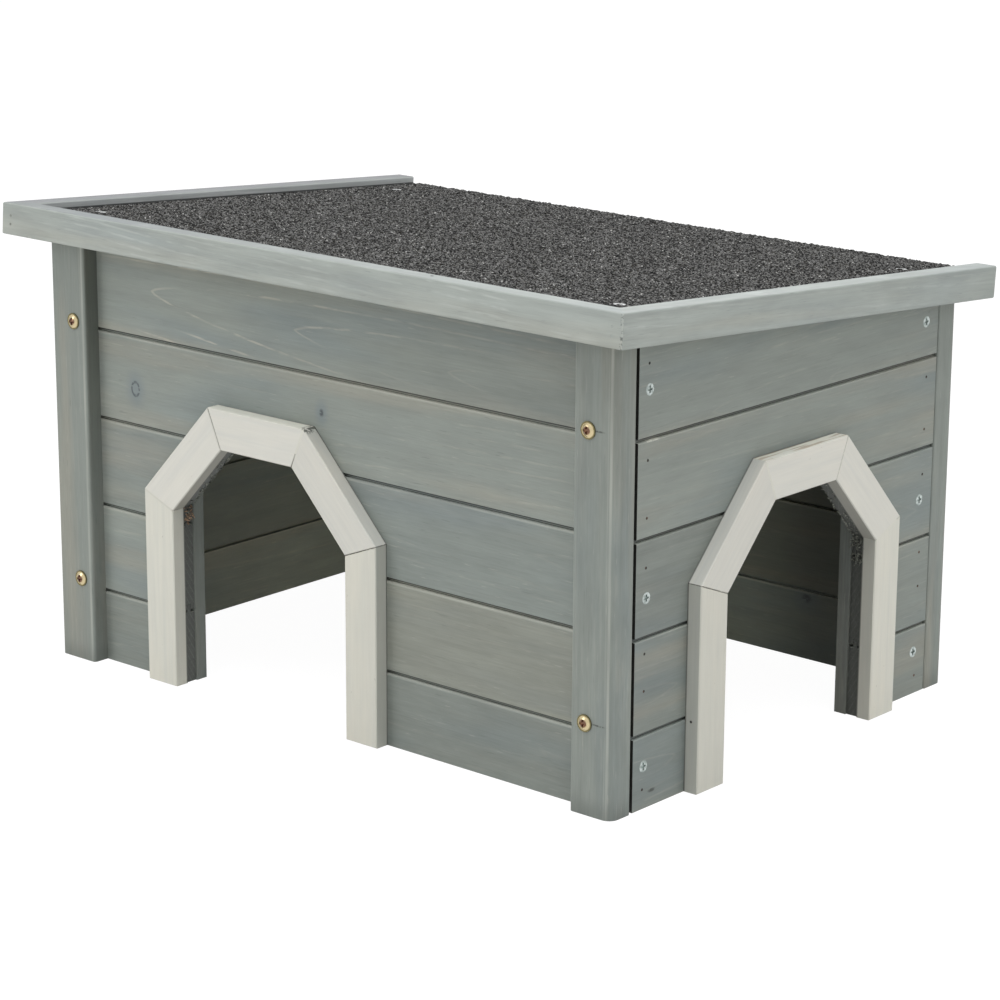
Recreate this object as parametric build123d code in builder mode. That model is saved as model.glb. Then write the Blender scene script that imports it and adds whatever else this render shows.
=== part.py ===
"""A bottomless rodent house of tongued boards, with two framed doorways and a felted lean-to roof.

Two side panels, each of boards on a pair of upright corner battens, stand between a front and a back
panel, whose boards lie in the rebates of the corner posts. Screws through the posts draw the panels
together. The roof is a felted panel with a raised trim on three sides, screwed down into the battens.
Lengths are in millimetres. +Z is up, the front faces -Y, the origin is on the floor under the middle.
"""
import math
import os

from build123d import *

# House, measured over the corner posts
body_width = 386.0
body_depth = 280.0
front_height = 250.0
overrun = 5.0

# Corner posts
post_face = 25.5
post_depth = 14.5
back_post_depth = 16.3
right_post_radius = 5.5
left_post_radius = 1.5
back_post_radius = 4.0
post_inner_radius = 2.0
post_rear_radius = 1.0
post_lap = 12.0
lap_clearance = 0.3

# Wall boards, with a tongue on the upper edge and a groove in the lower one
board_thickness = 7.0
board_count = 5
back_top_board = 30.2
front_first_seam = 39.1
side_first_seam = 37.4
seam_gap = 1.9
seam_chamfer = 0.25
tongue_thickness = 2.4
tongue_height = 4.5
tongue_setback = 1.8
groove_clearance = 0.2
front_recess = 9.3
side_recess = 0.5
front_end_gap = 2.2
back_end_gap = 0.5

# Battens inside the walls
corner_batten_width = 18.0
corner_batten_depth = 17.0
door_batten_width = 14.0
door_batten_thickness = 7.0

# Doorways and their mitred frames
door_width = 124.2
door_board_count = 3
door_rise = 0.3
door_slope = 39.0
door_flat = 50.6
front_door_offset = -42.6
frame_width = 21.3
frame_thickness = 8.1
frame_chamfer = 0.5
saw_margin = 1.0

# Roof
roof_pitch = 4.255
side_overhang = 17.0
front_overhang = 17.0
back_overhang = 8.9
trim_thickness = 12.5
trim_height = 16.8
trim_round = 0.9
felt_drop = 3.5
felt_thickness = 2.0
roof_panel_thickness = 8.5

# Round-headed screws through the posts
corner_screw_head = 8.6
corner_screw_head_height = 1.9
corner_screw_flange = 0.55
corner_screw_dome_share = 0.76
corner_screw_shank = 4.0
corner_screw_length = 30.0
corner_screw_low_rise = 6.9
corner_screw_high_rise = 4.3

# Countersunk screws through the side boards and the roof
flat_screw_head = 5.8
flat_screw_head_height = 1.8
flat_screw_shank = 3.0
board_screw_length = 20.0
back_screw_shift = -2.6
roof_screw_length = 20.0
roof_screw_shift = -3.5

# Cross recess of every screw, as shares of its head
recess_width_share = 0.17
recess_length_share = 0.62
recess_depth_share = 0.5

# Brads
brad_diameter = 1.4
brad_length = 13.0
brad_tip = 1.6
brad_shift = -0.7
drill_clearance = 0.05

# Heights of the fixings in the side boards, from the bottom board up, as shares of each board's height
front_screw_shares = ((0.59,), (), (0.4,), (), (0.45,))
back_screw_shares = ((0.64,), (), (0.43,), (), (0.55,))
brad_height_shares = ((0.27,), (0.45, 0.85), (0.72,), (0.2, 0.8), (0.7,))
panel_brad_shares = ((0.5,),)
frame_brad_shares = (0.25, 0.6)
top_brad_shares = (0.25, 0.75)
mitre_brad_shares = (0.4, 0.66)

# Places that follow from the sizes
pitch = math.radians(roof_pitch)
roof_span = front_overhang + body_depth + back_overhang
roof_length = roof_span / math.cos(pitch)
roof_width = body_width + 2 * side_overhang
roof_front = (trim_height * math.sin(pitch) - roof_span) / 2
post_front = roof_front + front_overhang
post_back = post_front + body_depth
half_width = body_width / 2
side_face = half_width - side_recess
side_inside = side_face - board_thickness
front_inside = front_recess + board_thickness
batten_front_start = max(post_depth, front_inside)
batten_back_start = max(back_post_depth, front_inside)
batten_x = side_inside - corner_batten_width / 2
batten_front_y = post_front + batten_front_start + corner_batten_depth / 2
batten_back_y = post_back - batten_back_start - corner_batten_depth / 2
seat_depth = felt_drop + felt_thickness + roof_panel_thickness

# Planes: the roof's top, its underside, and the outer face of each wall, with local x along the wall
roof_normal = Vector(0, math.sin(pitch), math.cos(pitch))
roof_top = Plane(origin=(0, roof_front, front_height), x_dir=(1, 0, 0), z_dir=roof_normal)
roof_seat = roof_top.offset(-seat_depth)
front_wall = Plane(origin=(0, post_front + front_recess, 0), x_dir=(1, 0, 0), z_dir=(0, -1, 0))
back_wall = Plane(origin=(0, post_back - front_recess, 0), x_dir=(-1, 0, 0), z_dir=(0, 1, 0))
right_wall = Plane(origin=(side_face, 0, 0), x_dir=(0, 1, 0), z_dir=(1, 0, 0))
left_wall = Plane(origin=(-side_face, 0, 0), x_dir=(0, -1, 0), z_dir=(-1, 0, 0))
side_door_y = (post_front + post_back) / 2

os.makedirs("parts", exist_ok=True)


def keep(piece, name):
    """Labels a finished piece and writes it."""
    piece.part.label = name
    export_step(piece.part, f"parts/{name}.step")


def seat_height(y):
    """Height of the roof's underside above the floor at a given depth."""
    return roof_seat.origin.Z - (y - roof_seat.origin.Y) * math.tan(pitch)


# Seams between the boards, and the doorway's heights that follow from them
board_pitch = (seat_height(post_back) - back_top_board - front_first_seam) / (board_count - 2)
front_seams = [front_first_seam + index * board_pitch for index in range(board_count - 1)]
side_seams = [side_first_seam + index * board_pitch for index in range(board_count - 1)]
door_height = front_seams[door_board_count - 1] + door_rise
door_shoulder = door_height - door_slope


def door_outline(centre, margin):
    """Corners of a doorway in its wall's plane, left foot to right foot, moved out by a margin."""
    half = door_width / 2
    half_flat = door_flat / 2
    rise = math.atan2(door_height - door_shoulder, half - half_flat)
    shoulder = door_shoulder + margin * math.tan((math.pi / 2 - rise) / 2)
    flat = half_flat + margin * math.tan(rise / 2)
    right = [(flat, door_height + margin), (half + margin, shoulder), (half + margin, 0)]
    left = [(-x, z) for x, z in reversed(right)]
    return [(centre + x, z) for x, z in left + right]


# Fasteners

def flat_screw(length, clearance):
    """A countersunk screw pointing down, head's face at the origin; a clearance makes its hole."""
    head = flat_screw_head / 2 + clearance
    shank = flat_screw_shank / 2 + clearance
    with BuildPart() as screw:
        with BuildSketch(Plane.XZ):
            with BuildLine():
                Polyline(
                    (0, 0),
                    (head, 0),
                    (shank, -flat_screw_head_height),
                    (shank, shank - length),
                    (0, -length - clearance),
                    close=True,
                )
            make_face()
        revolve(axis=Axis.Z)
        if not clearance:
            cut_cross(flat_screw_head, 0, flat_screw_head_height)
    return screw.part


def corner_screw(clearance):
    """A flanged round-headed screw pointing down, head on the origin's plane; a clearance makes its hole."""
    head = corner_screw_head / 2
    dome = head * corner_screw_dome_share
    shank = corner_screw_shank / 2 + clearance
    with BuildPart() as screw:
        with BuildSketch(Plane.XZ):
            with BuildLine():
                if clearance:
                    Polyline((0, 0), (shank, 0), (shank, shank - corner_screw_length))
                else:
                    TangentArc((0, corner_screw_head_height), (dome, corner_screw_flange), tangent=(1, 0))
                    Polyline(
                        (dome, corner_screw_flange),
                        (head, corner_screw_flange),
                        (head, 0),
                        (shank, 0),
                        (shank, shank - corner_screw_length),
                    )
                Line((shank, shank - corner_screw_length), (0, -corner_screw_length - clearance))
                top = 0 if clearance else corner_screw_head_height
                Line((0, -corner_screw_length - clearance), (0, top))
            make_face()
        revolve(axis=Axis.Z)
        if not clearance:
            cut_cross(2 * dome, corner_screw_head_height, corner_screw_head_height)
    return screw.part


def cut_cross(head, top, head_height):
    """Cuts the cross recess into the screw that is being made."""
    depth = head_height * recess_depth_share
    with BuildSketch(Plane.XY.offset(top - depth)) as cross:
        Rectangle(head * recess_length_share, head * recess_width_share)
        Rectangle(head * recess_width_share, head * recess_length_share)
    extrude(cross.sketch, amount=depth + overrun, mode=Mode.SUBTRACT)


def brad(clearance):
    """A headless brad pointing down, blunt end at the origin; a clearance makes its hole."""
    shank = brad_diameter / 2 + clearance
    with BuildPart() as pin:
        with BuildSketch(Plane.XZ):
            with BuildLine():
                Polyline(
                    (0, 0),
                    (shank, 0),
                    (shank, brad_tip - brad_length),
                    (0, -brad_length - clearance),
                    close=True,
                )
            make_face()
        revolve(axis=Axis.Z)
    return pin.part


def board_edges(seams):
    """Lower and upper edge of each board in a wall, bottom first; the top one ends at the roof."""
    lows = [0.0] + [seam + seam_gap / 2 for seam in seams]
    highs = [seam - seam_gap / 2 for seam in seams] + [None]
    return list(zip(lows, highs))


def fixing_heights(edges, shares, y):
    """Heights of a row of fixings up a side wall at a given depth, from each board's shares."""
    heights = []
    for index, (low, high) in enumerate(edges):
        top = seat_height(y) if high is None else high
        for share in shares[min(index, len(shares) - 1)]:
            heights.append(low + share * (top - low))
    return heights


front_end = half_width - post_face + post_lap - lap_clearance
front_ends = (-front_end, front_end)
right_ends = (post_front + post_depth + front_end_gap, post_back - back_post_depth - back_end_gap)
left_ends = (-right_ends[1], -right_ends[0])
front_edges = board_edges(front_seams)
side_edges = board_edges(side_seams)

corner_screw_places = [
    Plane(origin=(side * batten_x, y, z), x_dir=(1, 0, 0), z_dir=(0, facing, 0))
    for side in (-1, 1)
    for y, facing in ((post_front, -1), (post_back, 1))
    for z in (front_seams[0] + corner_screw_low_rise, front_seams[-1] + corner_screw_high_rise)
]
board_screw_places = [
    Plane(origin=(side * side_face, y, z), x_dir=(0, 1, 0), z_dir=(side, 0, 0))
    for side in (-1, 1)
    for y, shares in (
        (batten_front_y, front_screw_shares),
        (batten_back_y + back_screw_shift, back_screw_shares),
    )
    for z in fixing_heights(side_edges, shares, y)
]
roof_screw_places = [
    Plane(
        origin=(side * batten_x, y, seat_height(y) + (seat_depth - felt_drop) / math.cos(pitch)),
        x_dir=(1, 0, 0),
        z_dir=roof_normal,
    )
    for side in (-1, 1)
    for y in (batten_front_y + roof_screw_shift, batten_back_y + roof_screw_shift)
]
side_brad_places = [
    Plane(origin=(side * side_face, y + brad_shift, z), x_dir=(0, 1, 0), z_dir=(side, 0, 0))
    for side in (-1, 1)
    for y in (batten_front_y, batten_back_y)
    for z in fixing_heights(side_edges, brad_height_shares, y)
]


def inside_place(wall, x, z, depth):
    """Place of a brad driven outwards from a plane that lies a given depth inside a wall's face."""
    inner = wall.offset(-depth)
    return Plane(origin=inner.from_local_coords((x, z, 0)), x_dir=wall.x_dir, z_dir=-wall.z_dir)


doors = (
    ("front", front_wall, front_door_offset, front_edges),
    ("side", right_wall, side_door_y, side_edges),
)
post_brad_x = half_width - post_face + post_lap / 2
batten_brad_x = (door_width + door_batten_width) / 2
jamb_brad_x = (door_width + door_batten_width + frame_width) / 2
panel_brad_places = [
    inside_place(wall, x, z, board_thickness)
    for wall in (front_wall, back_wall)
    for x in (-post_brad_x, post_brad_x)
    for z in fixing_heights(front_edges, panel_brad_shares, wall.origin.Y)
]
frame_brad_places = []
for name, wall, centre, edges in doors:
    for x in (centre - batten_brad_x, centre + batten_brad_x):
        wall_y = wall.from_local_coords((x, 0, 0)).Y
        for z in fixing_heights(edges, panel_brad_shares, wall_y):
            panel_brad_places.append(inside_place(wall, x, z, board_thickness + door_batten_thickness))
    middle_line = door_outline(centre, frame_width / 2)
    frame_lines = [
        ((centre - jamb_brad_x, 0), (centre - jamb_brad_x, door_shoulder), frame_brad_shares),
        ((centre + jamb_brad_x, 0), (centre + jamb_brad_x, door_shoulder), frame_brad_shares),
        (middle_line[1], middle_line[2], frame_brad_shares),
        (middle_line[4], middle_line[3], frame_brad_shares),
        (middle_line[2], middle_line[3], top_brad_shares),
    ]
    for (x0, z0), (x1, z1), shares in frame_lines:
        for share in shares:
            x = x0 + share * (x1 - x0)
            z = z0 + share * (z1 - z0)
            frame_brad_places.append(inside_place(wall, x, z, board_thickness))
for side in (-1, 1):
    for share in mitre_brad_shares:
        mitre_x = side * (roof_width - trim_thickness) / 2
        place = roof_top.from_local_coords((mitre_x, 0, -trim_height * share))
        frame_brad_places.append(Plane(origin=place, x_dir=(1, 0, 0), z_dir=-roof_top.y_dir))


def fastener_group(name, fastener, places):
    """Writes one node that holds a copy of a fastener at each place."""
    with BuildPart() as group:
        add([fastener.moved(place.location) for place in places])
    keep(group, name)


fastener_group("corner_screws", corner_screw(0), corner_screw_places)
fastener_group("board_screws", flat_screw(board_screw_length, 0), board_screw_places)
fastener_group("roof_screws", flat_screw(roof_screw_length, 0), roof_screw_places)
fastener_group("side_brads", brad(0), side_brad_places)
fastener_group("panel_brads", brad(0), panel_brad_places)
fastener_group("trim_brads", brad(0), frame_brad_places)

holes = [
    hole.moved(place.location)
    for hole, places in (
        (corner_screw(drill_clearance), corner_screw_places),
        (flat_screw(board_screw_length, drill_clearance), board_screw_places),
        (flat_screw(roof_screw_length, drill_clearance), roof_screw_places),
        (brad(drill_clearance), side_brad_places + panel_brad_places + frame_brad_places),
    )
    for place in places
]


def drill(piece):
    """Cuts the holes of every fastener that reaches into the piece that is being made."""
    box = piece.part.bounding_box()
    near = [hole for hole in holes if boxes_meet(box, hole.bounding_box())]
    if near:
        add(near, mode=Mode.SUBTRACT)


def boxes_meet(one, other):
    """Whether two bounding boxes share any room."""
    return all(
        low < other_high and other_low < high
        for low, high, other_low, other_high in zip(
            tuple(one.min), tuple(one.max), tuple(other.min), tuple(other.max))
    )


# Wall boards

def wall_board(wall, ends, edges, index, opening):
    """One board of a wall, cut by a doorway if there is one; gives its lengths along the wall."""
    low, high = edges[index]
    start, end = ends
    grooved = index > 0
    tongued = high is not None
    top = high if tongued else front_height
    with BuildPart() as board:
        with BuildSketch(wall):
            with Locations(((start + end) / 2, (low + top) / 2)):
                Rectangle(end - start, top - low)
        extrude(amount=-board_thickness)
        face_edges = board.faces().sort_by(Axis((0, 0, 0), wall.z_dir))[-1].edges().sort_by(Axis.Z)
        seam_edges = [face_edges[0]] * grooved + [face_edges[-1]] * tongued
        chamfer(seam_edges, length=seam_chamfer)
        if tongued:
            with BuildSketch(wall.offset(-tongue_setback)):
                with Locations(((start + end) / 2, high + tongue_height / 2)):
                    Rectangle(end - start, tongue_height)
            extrude(amount=-tongue_thickness)
        else:
            split(bisect_by=roof_seat, keep=Keep.BOTTOM)
        if grooved:
            groove_depth = tongue_height - seam_gap + groove_clearance
            with BuildSketch(wall.offset(groove_clearance - tongue_setback)):
                with Locations(((start + end) / 2, low + groove_depth / 2)):
                    Rectangle(end - start, groove_depth)
            extrude(amount=-tongue_thickness - 2 * groove_clearance, mode=Mode.SUBTRACT)
        if opening:
            with BuildSketch(wall.offset(overrun)):
                with BuildLine():
                    Polyline(*opening, close=True)
                make_face()
            if tongued and high < opening[2][1] < high + tongue_height:
                # The tongue that would bridge the doorway's top is sawn away with it.
                with BuildSketch(wall.offset(overrun)):
                    with Locations(((opening[2][0] + opening[3][0]) / 2, high + tongue_height / 2)):
                        Rectangle(opening[3][0] - opening[2][0], tongue_height + 2 * seam_gap)
            extrude(amount=-board_thickness - 2 * overrun, mode=Mode.SUBTRACT)
        drill(board)
    return board.part.solids().sort_by(Axis((0, 0, 0), wall.x_dir))


def boarded_wall(name, wall, ends, edges, opening, side_words):
    """Writes the boards of one wall, numbered from the top, with cut boards named by their side."""
    for index in range(len(edges)):
        lengths = wall_board(wall, ends, edges, index, opening)
        words = [""] if len(lengths) == 1 else ["_" + word for word in side_words]
        for word, length in zip(words, lengths):
            with BuildPart() as board:
                add(length)
            keep(board, f"{name}_board_{len(edges) - index}{word}")


front_opening = door_outline(front_door_offset, saw_margin)
side_opening = door_outline(side_door_y, saw_margin)
boarded_wall("front", front_wall, front_ends, front_edges, front_opening, ("left", "right"))
boarded_wall("right", right_wall, right_ends, side_edges, side_opening, ("front", "back"))
boarded_wall("left", left_wall, left_ends, side_edges, None, ())
boarded_wall("back", back_wall, front_ends, front_edges, None, ())


# Corner posts and battens

def corner_post(name, side, face_y, inward, depth, radius):
    """One rebated post with its outer edge rounded; inward is +1 at the front and -1 at the back."""
    def corner(across, deep):
        return (side * (half_width - across), face_y + inward * deep)

    with BuildPart() as post:
        with BuildSketch() as section:
            with BuildLine():
                Polyline(
                    corner(0, 0),
                    corner(post_face, 0),
                    corner(post_face, front_recess),
                    corner(post_face - post_lap, front_recess),
                    corner(post_face - post_lap, depth),
                    corner(0, depth),
                    close=True,
                )
            make_face()
            outer = section.vertices().sort_by_distance(corner(0, 0))[0]
            fillet(outer, radius=radius)
            inner = section.vertices().sort_by_distance(corner(post_face, 0))[0]
            fillet(inner, radius=post_inner_radius)
            rear = section.vertices().sort_by_distance(corner(0, depth))[0]
            fillet(rear, radius=post_rear_radius)
        extrude(amount=front_height)
        split(bisect_by=roof_seat, keep=Keep.BOTTOM)
        drill(post)
    keep(post, name)


def upright_batten(name, x_span, y_span):
    """One batten from the floor to the roof's underside, over a rectangle of the floor."""
    with BuildPart() as batten:
        with BuildSketch():
            with Locations((sum(x_span) / 2, sum(y_span) / 2)):
                Rectangle(abs(x_span[1] - x_span[0]), abs(y_span[1] - y_span[0]))
        extrude(amount=front_height)
        split(bisect_by=roof_seat, keep=Keep.BOTTOM)
        drill(batten)
    keep(batten, name)


for side, side_word in ((-1, "left"), (1, "right")):
    front_radius = left_post_radius if side < 0 else right_post_radius
    corner_post(f"front_{side_word}_post", side, post_front, 1, post_depth, front_radius)
    corner_post(f"back_{side_word}_post", side, post_back, -1, back_post_depth, back_post_radius)
    batten_x_span = (side * side_inside, side * (side_inside - corner_batten_width))
    for end_word, batten_y in (("front", batten_front_y), ("back", batten_back_y)):
        batten_y_span = (batten_y - corner_batten_depth / 2, batten_y + corner_batten_depth / 2)
        upright_batten(f"{end_word}_{side_word}_batten", batten_x_span, batten_y_span)

front_door_y_span = (post_front + front_inside, post_front + front_inside + door_batten_thickness)
side_door_x_span = (side_inside - door_batten_thickness, side_inside)
for side, front_word, side_word in ((-1, "left", "front"), (1, "right", "back")):
    near = side * door_width / 2
    far = side * (door_width / 2 + door_batten_width)
    front_door_x_span = (front_door_offset + near, front_door_offset + far)
    side_door_y_span = (side_door_y + near, side_door_y + far)
    upright_batten(f"front_door_batten_{front_word}", front_door_x_span, front_door_y_span)
    upright_batten(f"side_door_batten_{side_word}", side_door_x_span, side_door_y_span)


# Doorway frames

def frame_piece(name, wall, outline):
    """One mitred length of a doorway frame, laid on a wall's face with its front edges eased."""
    with BuildPart() as piece:
        with BuildSketch(wall):
            with BuildLine():
                Polyline(*outline, close=True)
            make_face()
        extrude(amount=frame_thickness)
        face = piece.faces().sort_by(Axis((0, 0, 0), wall.z_dir))[-1]
        chamfer(face.edges(), length=frame_chamfer)
        drill(piece)
    keep(piece, name)


piece_words = {
    "front": ("left_jamb", "left_diagonal", "top", "right_diagonal", "right_jamb"),
    "side": ("front_jamb", "front_diagonal", "top", "back_diagonal", "back_jamb"),
}
for name, wall, centre, edges in doors:
    inner = door_outline(centre, 0)
    outer = door_outline(centre, frame_width)
    for index, word in enumerate(piece_words[name]):
        outline = [inner[index], inner[index + 1], outer[index + 1], outer[index]]
        frame_piece(f"{name}_door_{word}", wall, outline)


# Roof

def roof_sheet(name, top, thickness):
    """A flat sheet that fills the space inside the trim and runs out at the back."""
    with BuildPart() as sheet:
        with BuildSketch(roof_top.offset(-top)):
            with Locations((0, (trim_thickness + roof_length) / 2)):
                Rectangle(roof_width - 2 * trim_thickness, roof_length - trim_thickness)
        extrude(amount=-thickness)
        drill(sheet)
    keep(sheet, name)


def roof_trim(name, outline):
    """One mitred trim strip, with its long upper edges and its lower outer edge rounded."""
    with BuildPart() as trim:
        with BuildSketch(roof_top):
            with BuildLine():
                Polyline(*outline, close=True)
            make_face()
        extrude(amount=-trim_height)
        upper = trim.faces().sort_by(Axis((0, 0, 0), roof_normal))[-1]
        lower = trim.faces().sort_by(Axis((0, 0, 0), roof_normal))[0]
        longest = upper.edges().sort_by(SortBy.LENGTH)[-2:] + lower.edges().sort_by(SortBy.LENGTH)[-1:]
        fillet(longest, radius=trim_round)
        drill(trim)
    keep(trim, name)


roof_sheet("roof_felt", felt_drop, felt_thickness)
roof_sheet("roof_panel", felt_drop + felt_thickness, roof_panel_thickness)
half_roof = roof_width / 2
half_panel = half_roof - trim_thickness
roof_trim(
    "roof_trim_front",
    [(-half_roof, 0), (half_roof, 0), (half_panel, trim_thickness), (-half_panel, trim_thickness)],
)
for side, side_word in ((-1, "left"), (1, "right")):
    roof_trim(
        f"roof_trim_{side_word}",
        [
            (side * half_roof, 0),
            (side * half_roof, roof_length),
            (side * half_panel, roof_length),
            (side * half_panel, trim_thickness),
        ],
    )
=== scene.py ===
"""Looks of a grey rodent house: glazed boards, white doorway frames and a mineral-felt roof."""
import math
import random
from collections import namedtuple

import bpy
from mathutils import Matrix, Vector


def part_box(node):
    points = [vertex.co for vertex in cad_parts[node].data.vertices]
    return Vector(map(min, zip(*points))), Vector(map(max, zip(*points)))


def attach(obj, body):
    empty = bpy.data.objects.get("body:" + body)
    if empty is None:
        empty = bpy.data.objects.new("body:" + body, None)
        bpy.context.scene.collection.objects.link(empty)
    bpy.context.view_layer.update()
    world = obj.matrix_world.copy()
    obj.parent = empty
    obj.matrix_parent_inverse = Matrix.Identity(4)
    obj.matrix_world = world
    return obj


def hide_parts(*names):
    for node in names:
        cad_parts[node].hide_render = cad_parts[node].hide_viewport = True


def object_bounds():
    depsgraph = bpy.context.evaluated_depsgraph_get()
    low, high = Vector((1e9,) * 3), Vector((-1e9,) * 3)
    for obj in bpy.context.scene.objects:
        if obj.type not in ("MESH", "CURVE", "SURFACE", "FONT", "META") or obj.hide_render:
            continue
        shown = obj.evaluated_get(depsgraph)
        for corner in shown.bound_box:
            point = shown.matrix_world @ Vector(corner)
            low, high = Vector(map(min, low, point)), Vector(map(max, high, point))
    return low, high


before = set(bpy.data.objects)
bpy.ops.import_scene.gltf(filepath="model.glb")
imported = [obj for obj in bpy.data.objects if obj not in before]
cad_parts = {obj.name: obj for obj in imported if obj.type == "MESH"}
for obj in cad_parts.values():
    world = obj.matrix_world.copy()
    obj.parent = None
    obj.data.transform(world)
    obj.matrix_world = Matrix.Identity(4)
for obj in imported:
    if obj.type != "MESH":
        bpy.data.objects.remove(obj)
cad_low, cad_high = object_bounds()

# Side walls.
# Tongued softwood boards, brushed with a thin grey glaze that lets the grain through, nailed and
# screwed to upright battens. The right wall's lower boards are sawn off at the doorway.


class Value:
    """A number in a material. Sums written with it become shader nodes."""

    def __init__(self, recipe, socket):
        self.recipe = recipe
        self.socket = socket

    def reckon(self, operation, *others):
        inputs = dict(enumerate((self, *others)))
        return Value(self.recipe, self.recipe.node("ShaderNodeMath", inputs, operation=operation)[0])

    def __add__(self, other):
        return self.reckon("ADD", other)

    def __sub__(self, other):
        return self.reckon("SUBTRACT", other)

    def __mul__(self, other):
        return self.reckon("MULTIPLY", other)

    def __truediv__(self, other):
        return self.reckon("DIVIDE", other)

    def __abs__(self):
        return self.reckon("ABSOLUTE")

    def most(self, other):
        return self.reckon("MAXIMUM", other)

    def least(self, other):
        return self.reckon("MINIMUM", other)

    def length(self, other):
        return (self * self + other * other).reckon("SQRT")

    def step(self, low, high):
        """0 at low, 1 at high and a soft step between them."""
        inputs = {"Value": self, "From Min": low, "From Max": high}
        made = self.recipe.node("ShaderNodeMapRange", inputs, interpolation_type="SMOOTHSTEP")
        return Value(self.recipe, made[0])


class Recipe:
    """A material in the making: where a spot lies, which way it faces, and its colour so far."""

    def __init__(self, name, turn=(0, 0, 0), seed=0):
        self.material = bpy.data.materials.new(name)
        self.material.use_nodes = True
        self.surface = self.material.node_tree.nodes["Principled BSDF"]
        self.colour = None
        coordinates = self.node("ShaderNodeTexCoord")
        self.place = self.node("ShaderNodeMapping", {0: coordinates["Object"], "Rotation": turn})[0]
        facing = self.node(
            "ShaderNodeMapping", {0: coordinates["Normal"], "Rotation": turn}, vector_type="VECTOR")[0]
        self.along, self.deep, self.up = self.parts(self.place)
        self.facing_along, self.facing_deep, self.facing_up = self.parts(facing)
        offset = (0.37 * seed, 0.61 * seed, 0.23 * seed)
        self.own_place = self.node("ShaderNodeVectorMath", {0: self.place, 1: offset})[0]

    def node(self, kind, inputs=None, **settings):
        """Adds a shader node, sets or links its inputs, and gives its outputs."""
        made = self.material.node_tree.nodes.new(kind)
        for key, value in settings.items():
            setattr(made, key, value)
        for key, value in (inputs or {}).items():
            self.feed(made.inputs[key], value)
        return made.outputs

    def feed(self, socket, value):
        """Sets a socket to a plain value, or links it to a number or colour of this material."""
        source = value.socket if isinstance(value, Value) else value
        if isinstance(source, bpy.types.NodeSocket):
            self.material.node_tree.links.new(source, socket)
        else:
            socket.default_value = source

    def parts(self, vector):
        """The three parts of a place, a direction or a colour."""
        return [Value(self, part) for part in self.node("ShaderNodeSeparateXYZ", {0: vector})]

    def fibre(self, along, across, detail=2.0):
        """Noise drawn out along the grain, with features of about these lengths in metres."""
        stretch = (1 / along, 1 / across, 1 / across)
        drawn = self.node("ShaderNodeVectorMath", {0: self.own_place, 1: stretch}, operation="MULTIPLY")[0]
        made = self.node("ShaderNodeTexNoise", {"Vector": drawn, "Scale": 1.0, "Detail": detail})
        return Value(self, made[0])

    def mix(self, share, under, over, way="MIX"):
        """One colour over another, by a share."""
        inputs = {0: share, 6: under, 7: over}
        return self.node("ShaderNodeMix", inputs, data_type="RGBA", blend_type=way)[2]

    def lay(self, share, over, way="MIX"):
        """Lays a colour over the material's own, by a share."""
        self.colour = self.mix(share, self.colour, over, way)

    def tint(self, share, tint):
        """Multiplies the material's own colour, by a share."""
        self.lay(share, tint, "MULTIPLY")

    def dim(self, colour, factor):
        """A colour times a number."""
        return self.node("ShaderNodeVectorMath", {0: colour, "Scale": factor}, operation="SCALE")[0]

    def finish(self, roughness, relief=None, depth=0.0003, shine=0.35):
        """Joins the colour, roughness and relief to the surface and gives the material."""
        self.feed(self.surface.inputs["Base Color"], self.colour)
        self.feed(self.surface.inputs["Roughness"], roughness)
        self.surface.inputs["Specular IOR Level"].default_value = shine
        if relief is not None:
            bump = self.node("ShaderNodeBump", {"Height": relief, "Strength": 0.5, "Distance": depth})[0]
            self.feed(self.surface.inputs["Normal"], bump)
        return self.material


def screen(red, green, blue):
    """A colour as a screen shows it, each part up to 255, as the linear colour that a shader takes."""
    return (*(((part / 255 + 0.055) / 1.055) ** 2.4 for part in (red, green, blue)), 1.0)


def wear(node_name, material):
    """Gives a solid of the frame its material."""
    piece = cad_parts[node_name]
    piece.data.materials.clear()
    piece.data.materials.append(material)


# How growth rings lie in a board: height of the tree's heart, its rise along the board, its depth behind
# the face, how that depth changes, the rings' spacing and how much they waver
Rings = namedtuple("Rings", "height rise depth slant spacing waver")
# A blemish: its middle along and up the board, its half lengths and what it is
Mark = namedtuple("Mark", "along up half_along half_up kind")
knots = ("outline", "knot")
mark_colours = {
    "outline": screen(78, 84, 88),
    "knot": screen(66, 70, 74),
    "crack": screen(62, 64, 60),
    "scrape": screen(214, 213, 202),
}


def mark_reach(recipe, mark):
    """How far a spot is from a mark's middle, where 1 is the mark's rim."""
    beside = (recipe.along - mark.along) / mark.half_along
    return beside.length((recipe.up - mark.up) / mark.half_up)


def growth_rings(recipe, rings, marks):
    """Share of pale flames that growth rings, cut lengthwise, leave on a board. Knots push them aside."""
    above = recipe.up - recipe.along * rings.rise - rings.height
    behind = recipe.along * rings.slant + rings.depth
    distance = above.length(behind)
    steepness = (abs(above) / distance + 0.08).length(behind * rings.slant / distance)
    wander = (recipe.fibre(0.07, 0.012) - 0.5) * rings.spacing * rings.waver
    distance = distance + abs(above) * 0.08 + wander
    for mark in marks:
        if mark.kind in knots:
            distance = distance + (mark_reach(recipe, mark) + 1.0).reckon("POWER", -1.0) * rings.spacing
    off_line = (distance / rings.spacing).reckon("PINGPONG", 0.5) * rings.spacing / steepness
    dashes = recipe.fibre(0.012, 0.0022).step(0.38, 0.6) * recipe.fibre(0.08, 0.012).step(0.4, 0.62)
    tips = abs(above).step(0.006, 0.001) * 0.65
    return off_line.step(0.0008, 0.0002) * dashes.most(tips)


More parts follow.
